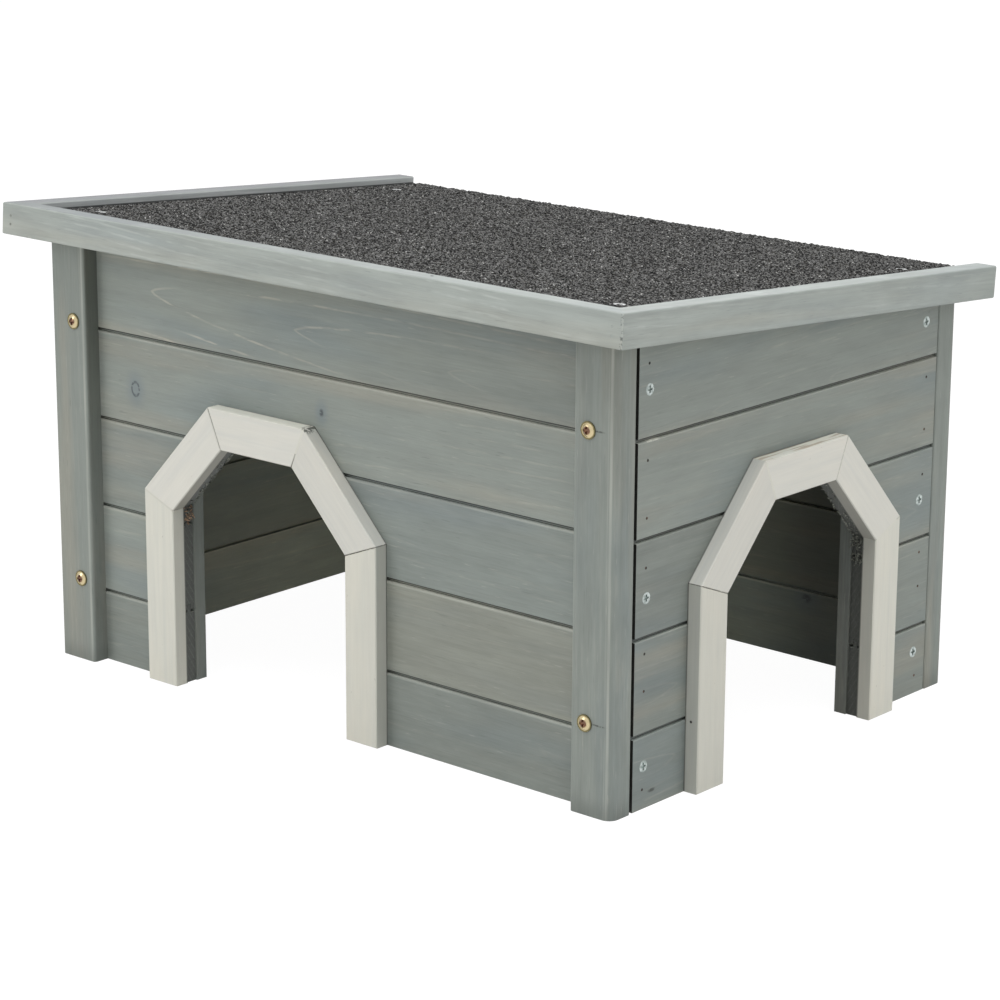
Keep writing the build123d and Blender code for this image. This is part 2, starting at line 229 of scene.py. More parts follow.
glaze = (screen(136, 142, 136), screen(124, 134, 134), screen(149, 148, 137))
warm_flame = screen(186, 181, 168)
pale_fleck = screen(198, 196, 184)
dark_fleck = screen(88, 94, 92)
knot_halo = screen(112, 126, 134)
worn_and_lit_glaze = screen(196, 198, 188)
sawn_tone = screen(98, 101, 97)
usual_shine = 0.35


class GlazedWood(Recipe):
    """Softwood under a thin grey glaze, with its grain, growth rings, blemishes and sawn ends."""

    def __init__(self, name, turn, seed, tones=glaze, level=1.0, rings=None, flame=0.3, marks=(), lines=(),
                 figure=1.0, bands=1.0, flame_tone=warm_flame):
        super().__init__(name, turn, seed)

        # The glaze lies bluer and thicker in some places, and warmer where the wood shows through.
        self.colour = tones[0]
        self.lay(self.fibre(0.14, 0.03).step(0.45, 0.75) * 0.7, tones[1])
        self.lay(self.fibre(0.2, 0.018, 3.0).step(0.48, 0.75) * 0.7, tones[2])
        rings = rings or Rings(0.1 + 0.013 * seed, 0.02, 0.02, 0.03, 0.004, 0.5)
        self.lay(growth_rings(self, rings, marks) * self.between(flame, -0.09, 0.08), flame_tone)

        # Brush marks, pores and the odd pale or dark fleck
        brush = self.fibre(0.16, 0.0045, 3.0)
        streaks = self.fibre(0.07, 0.0012)
        pores = self.fibre(0.012, 0.0006)
        blotch = self.fibre(0.03, 0.009, 3.0)
        broad = ((brush - 0.5) * 0.22 + (blotch - 0.5) * 0.26) * bands
        fine = ((streaks - 0.5) * 0.15 + (pores - 0.5) * 0.21) * figure
        self.colour = self.dim(self.colour, broad + fine + self.between(level, -0.2, 0.2))
        fleck = self.fibre(0.011, 0.0008, 1.0)
        self.lay(fleck.step(0.7, 0.78) * 0.16 * figure, pale_fleck)
        self.lay(fleck.step(0.3, 0.22) * 0.24 * figure, dark_fleck)

        for mark in marks:
            reach = mark_reach(self, mark)
            if mark.kind in knots:
                self.lay(reach.step(3.6, 0.6) * 0.45, knot_halo)
            inner = abs(reach - 1.0).step(0.3, 0.05) if mark.kind == "outline" else reach.step(1.1, 0.3)
            broken = self.fibre(0.002, 0.0012).step(0.3, 0.52)
            self.lay(inner * broken * 0.85, mark_colours[mark.kind])

        # Pale lines along an edge: partly glaze worn off, partly a painted highlight where light catches
        # the edge
        for place_up, half_width, share in lines:
            line = abs(self.up - place_up).step(half_width, half_width * 0.2)
            self.lay(line * self.fibre(0.05, 0.004).step(0.2, 0.7) * share, worn_and_lit_glaze)

        # Sawn ends drink more glaze: they are dark, with slanting saw marks.
        self.ragged = self.fibre(0.0012, 0.0012, 3.0)
        self.sawn = abs(self.facing_along).step(0.5, 0.68)
        stroke = self.deep * 330.0 + self.up * 190.0 + self.ragged * 0.4
        saw = stroke.reckon("PINGPONG", 0.5).step(0.1, 0.02)
        self.lay(self.sawn, self.dim(sawn_tone[:3], saw * 0.4 + self.ragged * 0.6 + 0.65))

        self.relief = brush * 0.5 + streaks * 0.5 + pores * 0.4 + saw * self.sawn * 0.5
        self.roughness = brush * 0.2 + 0.5

    def between(self, ends, low, high):
        """A number that changes between two places along the grain, or stays the same."""
        if isinstance(ends, tuple):
            return self.along.step(low, high) * (ends[1] - ends[0]) + ends[0]
        return ends

    def finished(self, shine=usual_shine):
        """The finished material."""
        return self.finish(self.roughness, self.relief, shine=shine)


def chance_rings(draw, low, high):
    """Growth rings drawn by lot for a board between two heights."""
    return Rings(
        height=draw.uniform(low - 0.01, high + 0.01), rise=draw.uniform(-0.03, 0.03),
        depth=draw.uniform(0.014, 0.03), slant=draw.choice((-1, 1)) * draw.uniform(0.02, 0.06),
        spacing=draw.uniform(0.0036, 0.006), waver=0.5)


def paint_tongue_shade_and_shoulder_light(wood, outer_face, inward, top_edge, light):
    """Paints shade on a board's tongue, which lies back from its face, and paints light on the shoulder
    before it.
    """
    rise = wood.up - top_edge
    set_back = ((wood.deep - outer_face) * inward).step(0.0008, 0.0014)
    on_tongue = set_back * (wood.facing_deep * -inward).step(0.6, 0.9)
    crease_shade = rise.step(0.0005, 0.0001).most(rise.step(0.0006, 0.0011))
    wood.lay(on_tongue, wood.dim(wood.colour, crease_shade * (0.25 - light) + light))
    # The shoulder is painted lighter: a painted highlight where the seam shades it
    shoulder = wood.facing_up.step(0.7, 0.9) * abs(rise).step(0.0004, 0.0002)
    wood.lay(shoulder, wood.dim(wood.colour, 1.5))


# Painted light and shade on the inner faces that the doorways show, as light through the doorways falls on
# them
inside_light_tints = {
    "left_board_3": (1.42, 1.38, 1.27, 1.0), "left_board_4": (1.8, 1.75, 1.6, 1.0),
    "left_board_5": (2.5, 2.43, 2.22, 1.0), "back_board_3": (0.47, 0.46, 0.4, 1.0),
    "back_board_4": (0.53, 0.52, 0.46, 1.0), "back_board_5": (0.74, 0.73, 0.66, 1.0),
}
# How the painted light and shade fade: their shares at two places along the wall, and the places
inside_light_fades = {"left": (0.66, 1.12, -0.05, 0.07), "back": (1.9, 0.55, 0.06, 0.13)}


def paint_inside_light_and_shade(wood, node_name):
    """Paints light and shade on a board's inner face, if a doorway shows it."""
    if node_name in inside_light_tints:
        low_share, high_share, low_place, high_place = inside_light_fades[node_name.split("_")[0]]
        tint = Vector(inside_light_tints[node_name])
        fade = wood.along.step(low_place, high_place)
        faded = wood.mix(fade, tuple(tint * low_share), tuple(tint * high_share))
        wood.tint(wood.facing_deep.step(-0.6, -0.95), faded)


grain_turns = {"x": (0, 0, 0), "y": (0, 0, -math.pi / 2), "z": (0, math.pi / 2, 0)}
# How light each side board is: partly its own glaze, partly painted shade, darker on the front parts
side_levels = {
    "right_board_1": 1.0, "right_board_2": 1.0, "right_board_3_front": 0.84, "right_board_3_back": 0.99,
    "right_board_4_front": 0.88, "right_board_5_front": 0.93,
}
side_marks = {
    "right_board_2": (Mark(-0.108, 0.1808, 0.007, 0.0007, "scrape"),),
    "right_board_5_front": (Mark(-0.104, 0.0078, 0.0035, 0.0012, "crack"),),
}
post_shade = (0.16, 0.15, 0.14, 1.0)
cut_shade = (0.52, 0.52, 0.5, 1.0)
tongue_height = 0.0045
lots = random.Random(41)
wall_boards = sorted(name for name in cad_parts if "_board_" in name)
for number, node_name in enumerate(name for name in wall_boards if name.startswith(("left", "right"))):
    low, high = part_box(node_name)
    top_edge = high.z if "_board_1" in node_name else high.z - tongue_height
    # The pale line at the top edge is partly worn glaze and partly a painted highlight.
    wood = GlazedWood(
        f"grey_glaze_{node_name}", grain_turns["y"], 3 + number, level=side_levels.get(node_name, 0.97),
        rings=chance_rings(lots, low.z, high.z), flame=lots.uniform(0.05, 0.15),
        marks=side_marks.get(node_name, ()), lines=((top_edge - 0.0003, 0.0007, 0.3),), figure=0.8)

    # Ends that stand behind a front post, and cuts at the back of the doorway, get little light: they are
    # painted dark as shade.
    if low.y < -0.1:
        wood.tint(abs(wood.along - low.y).step(0.001, 0.0005) * wood.sawn, post_shade)
    if node_name.endswith("_back"):
        wood.tint(wood.facing_along.step(-0.4, -0.6), cut_shade)
    outer_face, inward = (-low.x, -1) if node_name.startswith("left") else (-high.x, 1)
    paint_tongue_shade_and_shoulder_light(wood, outer_face, inward, top_edge, light=0.62)
    paint_inside_light_and_shade(wood, node_name)
    wear(node_name, wood.finished())

# Battens.
# Square and flat softwood strips that stand inside the corners and beside the doorways, from the floor
# to the roof, in the same glaze. The wall boards are nailed to them.
# The batten at the back of the side doorway is painted much darker, as shade inside the house.
batten_levels = {"side_door_batten_back": 0.57}
for number, node_name in enumerate(sorted(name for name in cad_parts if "batten" in name)):
    wood = GlazedWood(
        f"grey_glaze_{node_name}", grain_turns["z"], 40 + number, level=batten_levels.get(node_name, 0.9),
        flame=0.15)
    wear(node_name, wood.finished())

# Front and back walls.
# The same boards, set back behind the faces of the corner posts. The front's top board shows two long
# flames of growth rings, and the one below it two knots.
# How light each front board is, a pair where it changes from left to right: partly its own glaze, partly
# painted light and shade, lighter on the left
front_levels = {
    "front_board_1": (1.15, 0.94), "front_board_2": 1.07, "front_board_3_left": 1.0,
    "front_board_3_right": 0.95, "front_board_4_left": 1.09, "front_board_4_right": 0.95,
    "front_board_5_right": 0.87,
}
beige_glaze = (screen(139, 142, 133), screen(131, 137, 133), screen(147, 148, 135))
blue_glaze = (screen(135, 142, 137), screen(127, 136, 136), screen(143, 146, 139))
front_tones = {"front_board_4_right": beige_glaze, "front_board_3_right": blue_glaze}
flame_rings = {"front_board_1": Rings(0.2032, -0.052, 0.0235, -0.047, 0.0049, 0.12)}
front_marks = {
    "front_board_2": (
        Mark(-0.1397, 0.1553, 0.0028, 0.0037, "outline"),
        Mark(-0.0033, 0.1648, 0.0018, 0.0026, "knot"),
    ),
    "back_board_5": (Mark(0.1156, 0.0345, 0.004, 0.0032, "knot"),),
}
back_shine = 0.2
for number, node_name in enumerate(name for name in wall_boards if name.startswith(("front", "back"))):
    low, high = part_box(node_name)
    top_edge = high.z if "_board_1" in node_name else high.z - tongue_height
    chosen = flame_rings.get(node_name)
    # The pale line at the top edge is partly worn glaze and partly a painted highlight.
    wood = GlazedWood(
        f"grey_glaze_{node_name}", grain_turns["x"], 60 + number, front_tones.get(node_name, glaze),
        front_levels.get(node_name, 0.95), chosen or chance_rings(lots, low.z, high.z),
        (0.6, 0.2) if chosen else lots.uniform(0.05, 0.15), front_marks.get(node_name, ()),
        lines=((top_edge - 0.0004, 0.0011, 0.45),))
    at_back = node_name.startswith("back")
    outer_face, inward = (high.y, -1) if at_back else (low.y, 1)
    paint_tongue_shade_and_shoulder_light(wood, outer_face, inward, top_edge, light=0.95)
    paint_inside_light_and_shade(wood, node_name)
    wear(node_name, wood.finished(back_shine if at_back else usual_shine))

# Torn saw cuts.
# The doorways were sawn through the boards in place. The blade left a fringe of fibres along two of the
# slanting cuts, and splinters of bare wood at their shoulders.


def new_piece(name, vertices, faces, slot, *materials):
    """A mesh of its own, fixed to the house."""
    mesh = bpy.data.meshes.new(name)
    mesh.from_pydata(vertices, [], faces)
    for material in materials:
        mesh.materials.append(material)
    piece = bpy.data.objects.new(name, mesh)
    bpy.context.scene.collection.objects.link(piece)
    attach(piece, "root")
    return piece


splinter_root = 0.0006
splinter_faces = 5


def add_splinter(vertices, faces, root, reach, width, thickness):
    """A splinter that tapers from its root to a point."""
    forward = reach.normalized()
    sideways = forward.orthogonal().normalized()
    across = forward.cross(sideways)
    start = root - forward * splinter_root
    first = len(vertices)
    for left, down in ((1, 1), (-1, 1), (-1, -1), (1, -1)):
        vertices.append(start + sideways * (left * width) + across * (down * thickness))
    vertices.append(root + reach)
    for corner in range(4):
        faces.append((first + corner, first + (corner + 1) % 4, first + 4))
    faces.append((first + 3, first + 2, first + 1, first))


def torn_fibres(name, seed, across, dark_from, pale_from, dark, pale):
    """Torn wood: fibres that are dark and pale by turns."""
    recipe = Recipe(name, seed=seed)
    fibres = recipe.fibre(0.003, across, 3.0)
    recipe.colour = dark
    recipe.lay(fibres.step(dark_from, pale_from), pale)
    return recipe.finish(fibres * 0.2 + 0.6, fibres)


torn_glaze = torn_fibres("torn_glaze", 7, 0.0008, 0.35, 0.65, screen(72, 74, 68), screen(138, 141, 131))
torn_wood = torn_fibres("torn_wood", 8, 0.001, 0.38, 0.62, screen(108, 98, 84), screen(186, 156, 130))
saw_margin = 0.001
fringe_count = 60
bare_count = 26
torn = random.Random(6)
# For each doorway: the axis that it runs along and the way to its middle, the jamb, the slanting strip and
# the board at the torn cut, and between which drops below the shoulder the wood is torn bare
torn_cuts = {
    "front": (0, 1, "left_jamb", "left_diagonal", "front_board_3_left", ((0.0, 0.009),)),
    "side": (1, -1, "back_jamb", "back_diagonal", "right_board_3_back", ((0.0, 0.006), (0.0095, 0.0135))),
}
for door, (axis, inward, jamb_name, slope_name, board_name, bare_spans) in torn_cuts.items():
    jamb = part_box(f"{door}_door_{jamb_name}")
    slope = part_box(f"{door}_door_{slope_name}")
    top_low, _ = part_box(f"{door}_door_top")
    low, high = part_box(board_name)
    near = 1 if inward > 0 else 0
    shoulder = Vector((0, 0, slope[0].z))
    shoulder[axis] = jamb[near][axis] - inward * saw_margin
    crown = Vector((0, 0, top_low.z + saw_margin))
    crown[axis] = slope[near][axis]
    outer_face, inner_face = (low.y, high.y) if door == "front" else (high.x, low.x)
    outer = Vector((0, 0, 0))
    outer[1 - axis] = outer_face
    through = Vector((0, 0, 0))
    through[1 - axis] = inner_face - outer_face
    along_cut = (crown - shoulder).normalized()
    sideways = Vector((0, 0, 0))
    sideways[axis] = inward
    off_cut = sideways * along_cut.z - Vector((0, 0, abs(along_cut[axis])))
    vertices = []
    faces = []
    for _ in range(fringe_count):
        spot = shoulder.lerp(crown, torn.random()) + outer
        root = spot + through * torn.choice((torn.random(), 0.97, 0.93))
        reach = off_cut * torn.uniform(0.0002, 0.0013) + along_cut * torn.uniform(-0.004, 0.004)
        reach += through.normalized() * torn.uniform(-0.0002, 0.0007)
        width = torn.uniform(0.0002, 0.0005)
        add_splinter(vertices, faces, root, reach, width, torn.uniform(0.0001, 0.0003))
    fringe_faces = len(faces)
    for near_shoulder, far_below in bare_spans:
        for _ in range(bare_count):
            drop = Vector((0, 0, -torn.uniform(near_shoulder, far_below)))
            root = shoulder + drop + outer + through * torn.random()
            reach = sideways * torn.uniform(0.0006, 0.003) + Vector((0, 0, torn.uniform(-0.0034, 0.0016)))
            reach += through.normalized() * torn.uniform(-0.0016, 0.0016)
            width = torn.uniform(0.0004, 0.001)
            add_splinter(vertices, faces, root, reach, width, torn.uniform(0.0002, 0.0005))
    piece = new_piece(f"{door}_door_splinters", vertices, faces, "grey_wood", torn_glaze, torn_wood)
    if door == "front":
        for number, polygon in enumerate(piece.data.polygons[fringe_faces:]):
            polygon.material_index = 0 if number // splinter_faces % 3 == 0 else 1

# Corner posts.
# Planed posts with a rebate for the board ends and an outer edge that is rounded, more on some than on
# others, in the same glaze. Pale lines run along the edges, partly worn glaze and partly painted highlight,
# and the right post has split a little.
post_splits = {
    "front_right_post": (
        Mark(0.1882, -0.1828, 0.0006, 0.0042, "crack"),
        Mark(0.0463, -0.1846, 0.0006, 0.0056, "crack"),
    ),
}
# How light a post is, and how much its brush marks show
post_looks = {"front_left_post": (0.975, 0.5)}
low_shade = (0.79, 0.79, 0.79, 1.0)
high_shade = (0.51, 0.51, 0.48, 1.0)
foot_shade = (0.78, 0.78, 0.78, 1.0)
for number, node_name in enumerate(sorted(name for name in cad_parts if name.endswith("_post"))):
    low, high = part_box(node_name)
    outward = 1 if "right" in node_name else -1
    outer, inner = (high.x, low.x) if outward > 0 else (low.x, high.x)
    # Pale lines along the edges: partly worn glaze, partly painted highlight
    worn = (
        (-(outer - outward * 0.0032), 0.001, 0.45),
        (-(outer - outward * 0.0046), 0.0006, 0.2),
        (-(inner + outward * 0.0006), 0.0006, 0.3),
    )
    if node_name == "front_left_post":
        worn = ((-(inner + outward * 0.0019), 0.0011, 0.45),)
    level, bands = post_looks.get(node_name, (0.955, 1.4))
    wood = GlazedWood(
        f"grey_glaze_{node_name}", grain_turns["z"], 90 + number, level=level, flame=0.1,
        marks=post_splits.get(node_name, ()), lines=worn, bands=bands)

    # The left post's inner side is painted darkest under the roof, as shade, and every foot is painted
    # darker towards the floor, as shade.
    if node_name == "front_left_post":
        shade = wood.mix(wood.along.step(0.06, 0.22), low_shade, high_shade)
        wood.tint(wood.facing_up.step(-0.6, -0.95), shade)
    wood.tint(wood.along.step(0.012, 0.0), foot_shade)
    wear(node_name, wood.finished())

# Doorway frames.
# Five mitred softwood strips round each doorway, brushed with off-white paint and nailed on from behind.
# Paint bridges some of the mitres, and the others show as thin dark lines.
paint_tones = (screen(211, 210, 199), screen(201, 202, 194), screen(218, 215, 202))
# Tints of the edge faces by which way they face: partly greyer paint on the edges, partly painted light and
# shade, lighter on faces turned up and darker on faces turned down and into the doorway
outer_light_and_paint_tints = {
    "jamb": (0.8, 0.82, 0.84, 1.0), "diagonal": (1.08, 1.1, 1.13, 1.0), "top": (1.3, 1.32, 1.32, 1.0),
}
inner_shade_and_paint_tints = {
    "jamb": (0.8, 0.81, 0.81, 1.0), "diagonal": (0.51, 0.51, 0.49, 1.0), "top": (0.5, 0.5, 0.48, 1.0),
    "front_door_left_jamb": (1.03, 1.04, 1.04, 1.0),
}
slope_tint = (1.0, 0.995, 1.02, 1.0)
# How light each strip's paint is: painted light and shade, darker on the side doorway's front strips and
# the front doorway's right strips
paint_light_and_shade_levels = {
    "front_door_left_diagonal": 1.03, "front_door_top": 1.03, "front_door_right_jamb": 0.94,
    "front_door_right_diagonal": 0.96, "side_door_front_jamb": 0.9, "side_door_front_diagonal": 0.94,
    "side_door_top": 1.01, "side_door_back_diagonal": 1.01,
}
# How dark each mitre is at its inner and its outer end
mitre_depths = {
    "front": {
        "left_shoulder": (0.1, 0.1), "left_top": (0.6, 0.75), "right_top": (0.9, -1.4),
        "right_shoulder": (0.9, 0.8)},
    "side": {
        "left_shoulder": (0.6, 0.75), "left_top": (0.0, 0.0), "right_top": (0.25, 0.45),
        "right_shoulder": (0.0, 0.14)},
}
# Where paint bridges a mitre: from and to which share of its length, and how light the paint is there
mitre_paint = {
    "front": {"left_shoulder": (0.03, 0.97, 0.92), "right_top": (0.36, 0.97, 0.99)},
    "side": {"left_top": (0.03, 0.97, 0.98), "right_shoulder": (0.03, 0.86, 1.0)},
}
strip_mitres = {
    "left_jamb": ("left_shoulder",), "left_diagonal": ("left_shoulder", "left_top"),
    "top": ("left_top", "right_top"),
    "right_diagonal": ("right_shoulder", "right_top"), "right_jamb": ("right_shoulder",),
}
# A mitre: its inner and outer corner, each across and up the wall, and how dark it is at both
Mitre = namedtuple("Mitre", "inner outer dark")


def door_mitres(pieces, axis, depths):
    """The four mitres of a doorway frame."""
    boxes = {word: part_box(node_name) for word, node_name in pieces.items()}
    top = boxes["top"]
    mitres = {}
    for side, near, far in (("left", 1, 0), ("right", 0, 1)):
        jamb = boxes[f"{side}_jamb"]
        slope = boxes[f"{side}_diagonal"]
        shoulder = f"{side}_shoulder"
        crown = f"{side}_top"
        mitres[shoulder] = Mitre(
            (jamb[near][axis], slope[0].z), (slope[far][axis], jamb[1].z), depths[shoulder])
        mitres[crown] = Mitre((slope[near][axis], top[0].z), (top[far][axis], top[1].z), depths[crown])
    return mitres


def white_paint(node_name, turn, seed, axis, word, outward, mitres, wall, chip=None, bare=0.0):
    """Off-white paint on a strip, faint brush marks, less paint and painted light and shade on edges, dark
    mitres.
    """
    recipe = Recipe(f"white_paint_{node_name}", turn, seed)
    coordinates = recipe.node("ShaderNodeTexCoord")
    spot = recipe.parts(coordinates["Object"])
    normal = recipe.parts(coordinates["Normal"])
    brush = recipe.fibre(0.12, 0.003, 3.0)
    recipe.colour = paint_tones[0]
    recipe.lay(brush.step(0.4, 0.8) * 0.6, paint_tones[1])
    recipe.lay(recipe.fibre(0.06, 0.02).step(0.45, 0.75) * 0.7, paint_tones[2])
    speck = recipe.fibre(0.0025, 0.0015, 1.0).step(0.22, 0.16)
    recipe.lay(speck * 0.3, screen(128, 124, 112))
    level = paint_light_and_shade_levels.get(node_name, 1.0)
    recipe.colour = recipe.dim(recipe.colour, (recipe.fibre(0.02, 0.0012) - 0.5) * 0.1 + level)
    if word != "jamb":
        recipe.tint(1.0, slope_tint)
    turned_out = normal[axis] * outward[0] + normal[2] * outward[1]
    # Edge faces are tinted partly as greyer paint, partly as painted light and shade.
    recipe.tint(turned_out.step(0.6, 0.9), outer_light_and_paint_tints[word])
    recipe.tint(turned_out.step(-0.6, -0.9), inner_shade_and_paint_tints.get(node_name, inner_shade_and_paint_tints[word]))
    if bare:
        streak = turned_out.step(0.6, 0.9) * recipe.fibre(0.03, 0.0025).step(0.46, 0.6)
        recipe.lay(streak * bare, screen(166, 142, 114))
    ragged = recipe.fibre(0.0015, 0.0015)
    for mitre in mitres:
        across = mitre.outer[0] - mitre.inner[0]
        rise = mitre.outer[1] - mitre.inner[1]
        reach = math.hypot(across, rise)
        right = spot[axis] - mitre.inner[0]
        over = spot[2] - mitre.inner[1]
        off = abs(right * (rise / reach) - over * (across / reach))
        share = (right * across + over * rise) / reach**2
        darkness = share * (mitre.dark[1] - mitre.dark[0]) + mitre.dark[0]
        gap = off.step(0.00045, 0.0001) * ragged.step(0.25, 0.5)
        recipe.lay(gap * darkness, screen(66, 66, 58))
    if chip:
        near = (spot[axis] - chip[0]).length(spot[2] - chip[1])
        crumbled = near.step(0.0042, 0.0012) * ragged.step(0.44, 0.54) * turned_out.step(0.2, 0.6)
        recipe.lay(crumbled * 0.8, screen(62, 66, 58))
    # A painted shade line where the strip meets the wall
    wall_contact_shade = abs(spot[1 - axis] - wall).step(0.0009, 0.0003)
    recipe.lay(wall_contact_shade * 0.75, screen(58, 60, 56))
    return recipe.finish(brush * 0.2 + 0.45, brush, 0.00015)


def add_bar(vertices, faces, start, end, half_width, thickness):
    """A flat bar between two places, its half width and its thickness given as directions."""
    if half_width.cross(thickness).dot(end - start) > 0:
        half_width = -half_width
    first = len(vertices)
    for place in (start, end):
        for side, below in ((1, 0), (-1, 0), (-1, 1), (1, 1)):
            vertices.append(place + half_width * side + thickness * below)
    for corner in range(4):
        following = (corner + 1) % 4
        faces.append((first + corner, first + following, first + 4 + following, first + 4 + corner))
    faces.append((first + 3, first + 2, first + 1, first))
    faces.append((first + 4, first + 5, first + 6, first + 7))


def bridging_paint(name, level):
    """Paint that has filled a mitre."""
    recipe = Recipe(name, seed=9)
    brush = recipe.fibre(0.004, 0.004, 3.0)
    recipe.colour = recipe.dim(paint_tones[0][:3], (brush - 0.5) * 0.1 + level)
    return recipe.finish(brush * 0.2 + 0.45)


bar_faces = 6
bar_half_width = 0.00056
bar_thickness = 0.0004
bar_proud = 0.00003
bare_top = 0.6
side_words = {"front": "left", "back": "right"}
for door, axis in (("front", 0), ("side", 1)):
    pieces = {}
    for node_name in sorted(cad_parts):
        words = node_name.split("_")
        if words[:2] == [door, "door"] and words[-1] in outer_light_and_paint_tints:
            pieces["_".join(side_words.get(word, word) for word in words[2:])] = node_name
    mitres = door_mitres(pieces, axis, mitre_depths[door])
    inner = mitres["right_shoulder"].inner
    outer = mitres["right_top"].inner
    slope = math.atan2(outer[1] - inner[1], inner[0] - outer[0])
    for number, (piece_name, node_name) in enumerate(pieces.items()):
        word = piece_name.split("_")[-1]
        sign = -1 if piece_name.startswith("left") else 1
        outward, lean = {
            "jamb": ((sign, 0), math.pi / 2),
            "diagonal": ((sign * math.sin(slope), math.cos(slope)), -sign * slope),
            "top": ((0, 1), 0),
        }[word]
        turn = (0, lean, 0) if axis == 0 else (-lean, 0, -math.pi / 2)
        low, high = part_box(node_name)
        chipped = door == "front" and piece_name in ("top", "right_diagonal")
        wear(node_name, white_paint(
            node_name, turn, 120 + number + 7 * axis, axis, word, outward,
            [mitres[key] for key in strip_mitres[piece_name]], wall=high.y if axis == 0 else low.x,
            chip=mitres["right_top"].outer if chipped else None,
            bare=bare_top if door == "side" and word == "top" else 0.0))

    # Bars of paint in the bridged mitres
    low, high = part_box(pieces["left_jamb"])
    front_face = low.y if axis == 0 else high.x
    inward = Vector((0, 1, 0)) if axis == 0 else Vector((-1, 0, 0))
    vertices = []
    faces = []
    fillings = []
    for key, (start_share, end_share, level) in mitre_paint[door].items():
        inner, outer, _ = mitres[key]
        ends = []
        for share in (start_share, end_share):
            place = Vector((0, 0, inner[1] + (outer[1] - inner[1]) * share))
            place[axis] = inner[0] + (outer[0] - inner[0]) * share
            place[1 - axis] = front_face
            ends.append(place - inward * bar_proud)
        half_width = (ends[1] - ends[0]).cross(inward).normalized() * bar_half_width
        add_bar(vertices, faces, *ends, half_width, inward * bar_thickness)
        fillings.append(bridging_paint(f"mitre_paint_{door}_{key}", level))
    piece = new_piece(f"{door}_door_mitre_paint", vertices, faces, "white_wood", *fillings)
    for polygon in piece.data.polygons:
        polygon.material_index = polygon.index // bar_faces

# Roof panel.
# A raw softwood plywood sheet under the felt. Only its back edge and its underside show.
recipe = Recipe("raw_plywood", seed=5)
layers = recipe.fibre(0.05, 0.0014, 3.0)
recipe.colour = screen(172, 150, 116)
recipe.lay(recipe.fibre(0.2, 0.006, 3.0).step(0.35, 0.7), screen(192, 171, 137))
recipe.lay(layers.step(0.5, 0.75) * 0.8, screen(142, 118, 86))
wear("roof_panel", recipe.finish(layers * 0.2 + 0.65, layers))

# Roof felt.
# Bitumen felt with a mineral grit pressed into it, laid inside the trim and cut flush at the back. The grit
# is modelled. It lies lower round the roof screws, and in a dark groove along the left trim.
pitch = math.radians(4.255)
felt_thickness = 0.002
grit_step = 0.00112
grit_height = 0.0011
grit_sink = 0.0004
grit_scatter = 0.35
back_fray = 0.0009
screw_clearing = 0.0034
screw_radius = 0.0029
groove_width = 0.0045
groove_depth = 0.0013
map_reach = 0.97
rim_map = (0.985, 0.985)
felt_low, felt_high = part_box("roof_felt")
screw_low, screw_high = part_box("roof_screws")
downhill = Vector((0, math.cos(pitch), -math.sin(pitch)))
roof_normal = Vector((0, math.sin(pitch), math.cos(pitch)))
front_edge = Vector((0, felt_low.y + felt_thickness * math.sin(pitch), felt_high.z))
back_edge = Vector((0, felt_high.y, felt_low.z + felt_thickness * math.cos(pitch)))
felt_length = (back_edge - front_edge).length
felt_width = felt_high.x - felt_low.x
screw_spots = [
    (side * (screw_high.x - screw_radius), y)
    for side in (-1, 1)
    for y in (screw_low.y + screw_radius, screw_high.y - screw_radius)
]
columns = round(felt_width / grit_step)
rows = round(felt_length / grit_step)
grit = random.Random(12)
vertices = []
felt_map = []
for row in range(rows + 1):
    for column in range(columns + 1):
        across = felt_low.x + felt_width * column / columns
        down = felt_length * row / rows
        lift = grit_height * (0.1 + 0.9 * grit.random() ** 1.5)
        if 0 < row < rows and 0 < column < columns:
            across += grit.uniform(-grit_scatter, grit_scatter) * grit_step
            down += grit.uniform(-grit_scatter, grit_scatter) * grit_step
        elif row == rows:
            down -= back_fray * grit.random()
        point = front_edge + downhill * down
        if min(math.hypot(across - x, point.y - y) for x, y in screw_spots) < screw_clearing:
            lift = 0
        if across < felt_low.x + groove_width:
            lift = lift * 0.2 - groove_depth
        point += roof_normal * (lift - grit_sink)
        vertices.append((across, point.y, point.z))
        felt_map.append((map_reach * column / columns, map_reach * row / rows))
faces = []
for row in range(rows):
    for column in range(columns):
        corner = row * (columns + 1) + column
        faces.append((corner, corner + columns + 1, corner + columns + 2, corner + 1))
rim = (
    list(range(columns))
    + [row * (columns + 1) + columns for row in range(rows)]
    + [rows * (columns + 1) + column for column in range(columns, 0, -1)]
    + [row * (columns + 1) for row in range(rows, 0, -1)]
)
under = len(vertices)
underside = front_edge - roof_normal * felt_thickness
for corner in rim:
    above = Vector(vertices[corner])
    point = underside + downhill * (above - underside).dot(downhill)
    vertices.append((above.x, point.y, point.z))
    felt_map.append(rim_map)
for order, corner in enumerate(rim):
    following = (order + 1) % len(rim)
    faces.append((corner, rim[following], under + following, under + order))
faces.append(tuple(range(under, under + len(rim))))

recipe = Recipe("mineral_felt", seed=2)
cells = recipe.node("ShaderNodeTexVoronoi", {"Vector": recipe.place, "Scale": 1400.0})["Color"]
cell_tone, cell_hue, cell_gleam = recipe.parts(cells)
recipe.colour = screen(2, 2, 2)
recipe.lay(cell_tone.step(0.45, 0.85), screen(107, 107, 106))
recipe.lay(cell_hue.step(0.84, 0.94) * 0.3, screen(72, 68, 56))
recipe.lay(cell_gleam.step(0.98, 0.992) * 0.8, screen(190, 190, 187))
